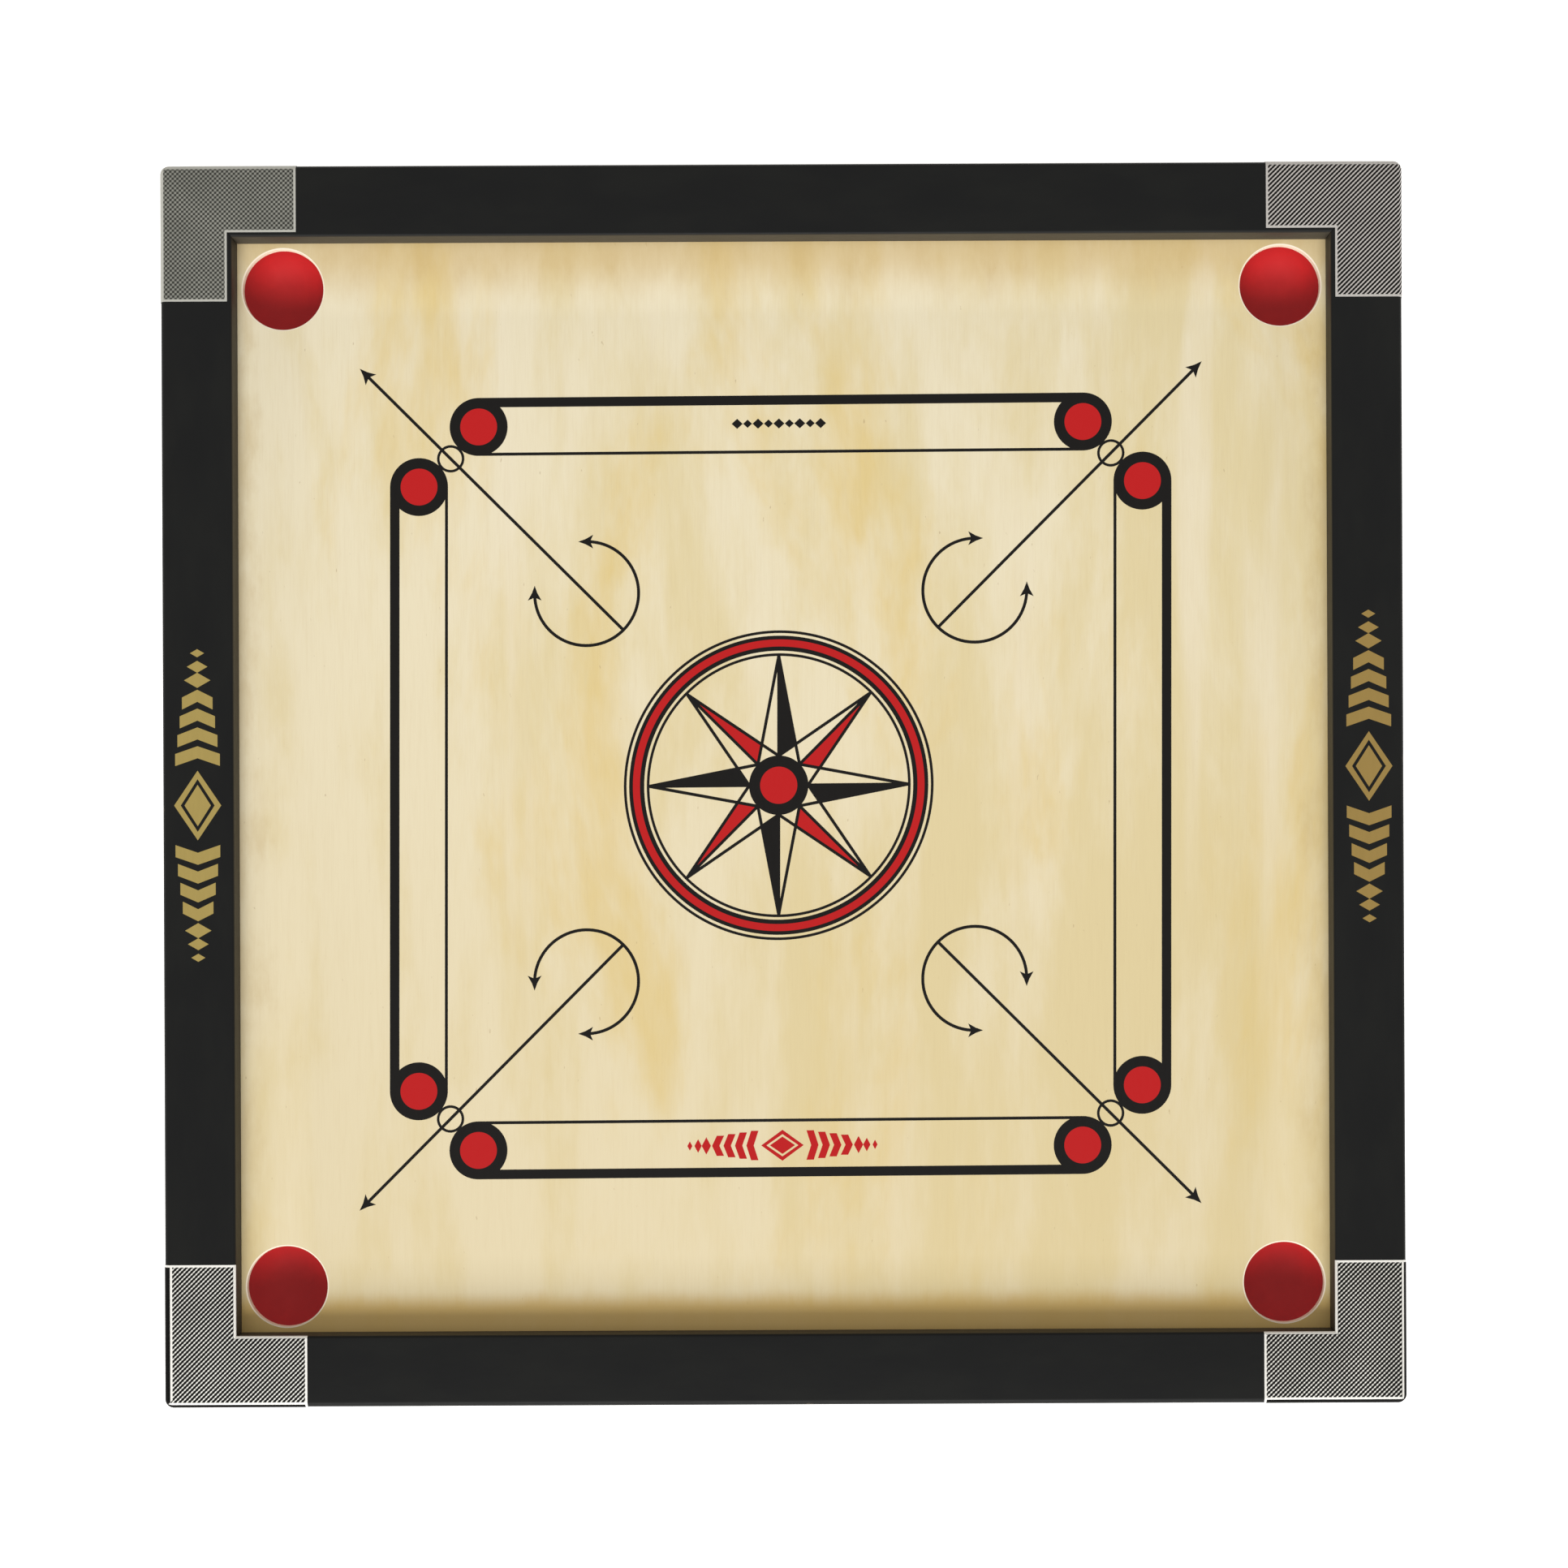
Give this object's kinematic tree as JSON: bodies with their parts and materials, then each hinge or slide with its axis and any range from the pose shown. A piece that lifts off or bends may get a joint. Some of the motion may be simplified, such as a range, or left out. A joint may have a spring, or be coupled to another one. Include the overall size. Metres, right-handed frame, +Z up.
{
  "type": "carrom board",
  "caption": "Square wooden tabletop game board: printed ply playing sheet in a raised black frame, with a round pocket cup under each corner hole.",
  "frame": {"origin": "middle of the underside, on the surface that the board stands on", "axes": "+Z up, +X towards the right rail, +Y towards the back rail; every printed side is alike, so front is a choice"},
  "size_m": [0.661, 0.661, 0.0384],
  "materials": {
    "playing_face": "pale plywood, varnished smooth, with the layout printed in black and red",
    "rail_lacquer": "hardwood in satin black lacquer",
    "corner_foil": "thin silver sheet with a diagonal pattern of black checks",
    "pocket_plastic": "bright red moulded plastic, smooth",
    "raw_wood": "planed, unfinished softwood",
    "fastener": "zinc-plated steel"
  },
  "bodies": {
    "root": {"batten_crossways": "raw_wood", "batten_lengthways": "raw_wood", "batten_screw_back_1": "fastener", "batten_screw_back_2": "fastener", "batten_screw_front_1": "fastener", "batten_screw_front_2": "fastener", "batten_screw_left_1": "fastener", "batten_screw_left_2": "fastener", "batten_screw_right_1": "fastener", "batten_screw_right_2": "fastener", "corner_foil_back_left": "corner_foil", "corner_foil_back_right": "corner_foil", "corner_foil_front_left": "corner_foil", "corner_foil_front_right": "corner_foil", "cup_tack_back_left_1": "fastener", "cup_tack_back_left_2": "fastener", "cup_tack_back_left_3": "fastener", "cup_tack_back_left_4": "fastener", "cup_tack_back_right_1": "fastener", "cup_tack_back_right_2": "fastener", "cup_tack_back_right_3": "fastener", "cup_tack_back_right_4": "fastener", "cup_tack_front_left_1": "fastener", "cup_tack_front_left_2": "fastener", "cup_tack_front_left_3": "fastener", "cup_tack_front_left_4": "fastener", "cup_tack_front_right_1": "fastener", "cup_tack_front_right_2": "fastener", "cup_tack_front_right_3": "fastener", "cup_tack_front_right_4": "fastener", "mitre_spline_back_left": "raw_wood", "mitre_spline_back_right": "raw_wood", "mitre_spline_front_left": "raw_wood", "mitre_spline_front_right": "raw_wood", "play_surface": "playing_face", "ply_pin_back_1": "fastener", "ply_pin_back_2": "fastener", "ply_pin_back_3": "fastener", "ply_pin_back_4": "fastener", "ply_pin_front_1": "fastener", "ply_pin_front_2": "fastener", "ply_pin_front_3": "fastener", "ply_pin_front_4": "fastener", "ply_pin_left_1": "fastener", "ply_pin_left_2": "fastener", "ply_pin_left_3": "fastener", "ply_pin_left_4": "fastener", "ply_pin_right_1": "fastener", "ply_pin_right_2": "fastener", "ply_pin_right_3": "fastener", "ply_pin_right_4": "fastener", "pocket_cup_back_left": "pocket_plastic", "pocket_cup_back_right": "pocket_plastic", "pocket_cup_front_left": "pocket_plastic", "pocket_cup_front_right": "pocket_plastic", "rail_back": "rail_lacquer", "rail_front": "rail_lacquer", "rail_left": "rail_lacquer", "rail_right": "rail_lacquer"}
  },
  "joints": []
}
